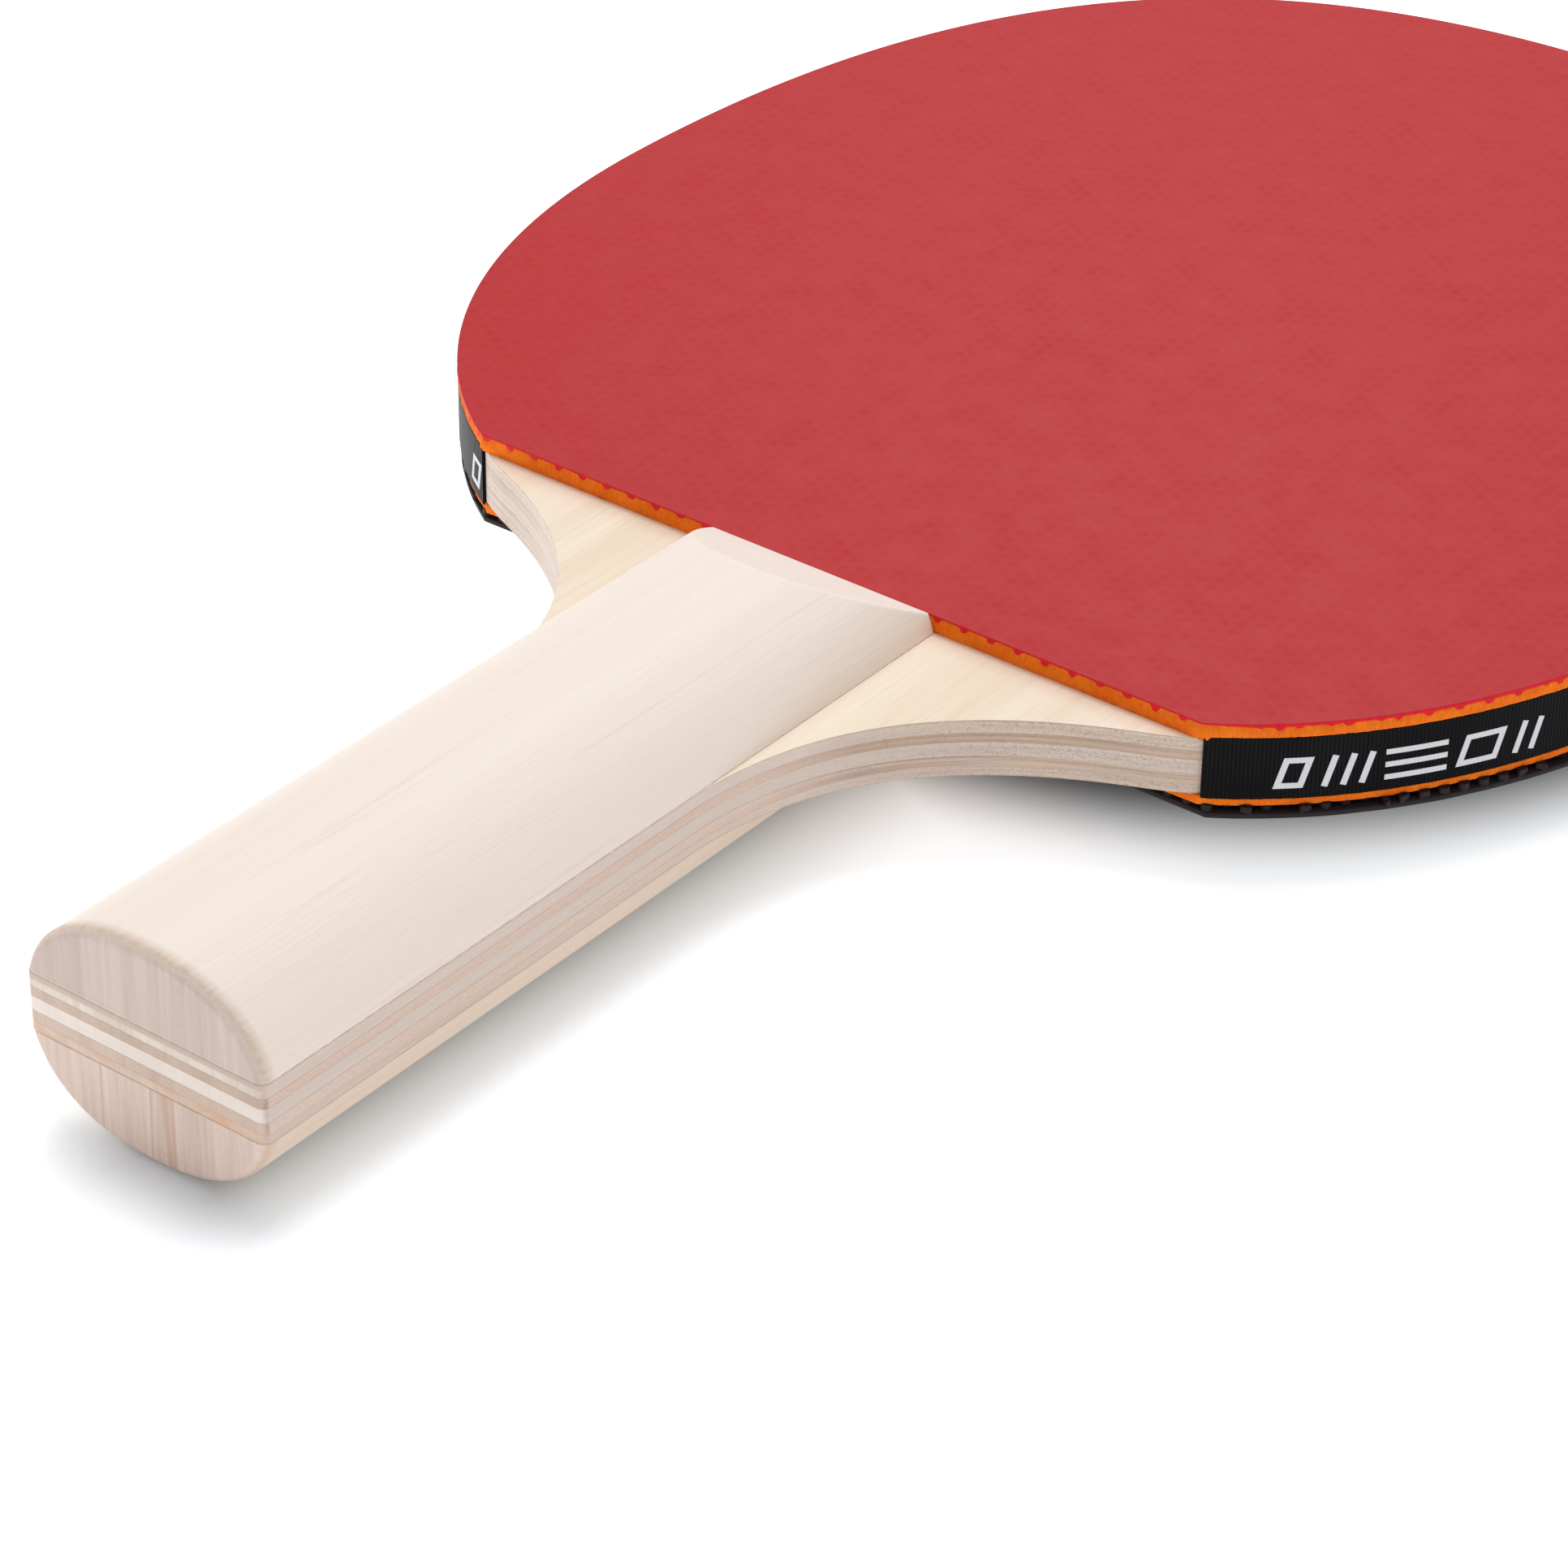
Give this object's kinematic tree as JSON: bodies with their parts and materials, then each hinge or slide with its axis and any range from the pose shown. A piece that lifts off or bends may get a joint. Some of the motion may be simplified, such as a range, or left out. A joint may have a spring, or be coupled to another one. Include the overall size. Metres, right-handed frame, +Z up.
{
  "type": "table tennis bat",
  "caption": "Table tennis bat: laminated wooden blade with a straight grip, sponge and smooth rubber on both faces, and woven edge tape.",
  "frame": {"origin": "bottom centre of the bounding box: under the middle of the bat, level with the lowest line of the grip", "axes": "+Y along the bat from the butt of the handle to the tip of the head, +X across the bat, +Z up out of the red face, square to the blade"},
  "size_m": [0.1526, 0.2566, 0.0236],
  "materials": {
    "face_wood": "bare, lightly sanded, pale yellow-cream",
    "cross_wood": "bare brown veneer, seen as end grain",
    "core_wood": "bare pale core veneer",
    "grip_wood": "satin, sanded smooth, pale cream",
    "sponge": "matte orange foam",
    "red_rubber": "matte smooth red",
    "black_rubber": "matte smooth black",
    "tape": "matte black woven tape"
  },
  "bodies": {
    "root": {"face_ply_red_side": "face_wood", "cross_ply_red_side": "cross_wood", "core_ply": "core_wood", "cross_ply_black_side": "cross_wood", "face_ply_black_side": "face_wood", "grip_red_side": "grip_wood", "grip_black_side": "grip_wood", "sponge_red_side": "sponge", "sponge_black_side": "sponge", "sheet_red": "red_rubber", "sheet_black": "black_rubber", "edge_tape": "tape"}
  },
  "joints": []
}
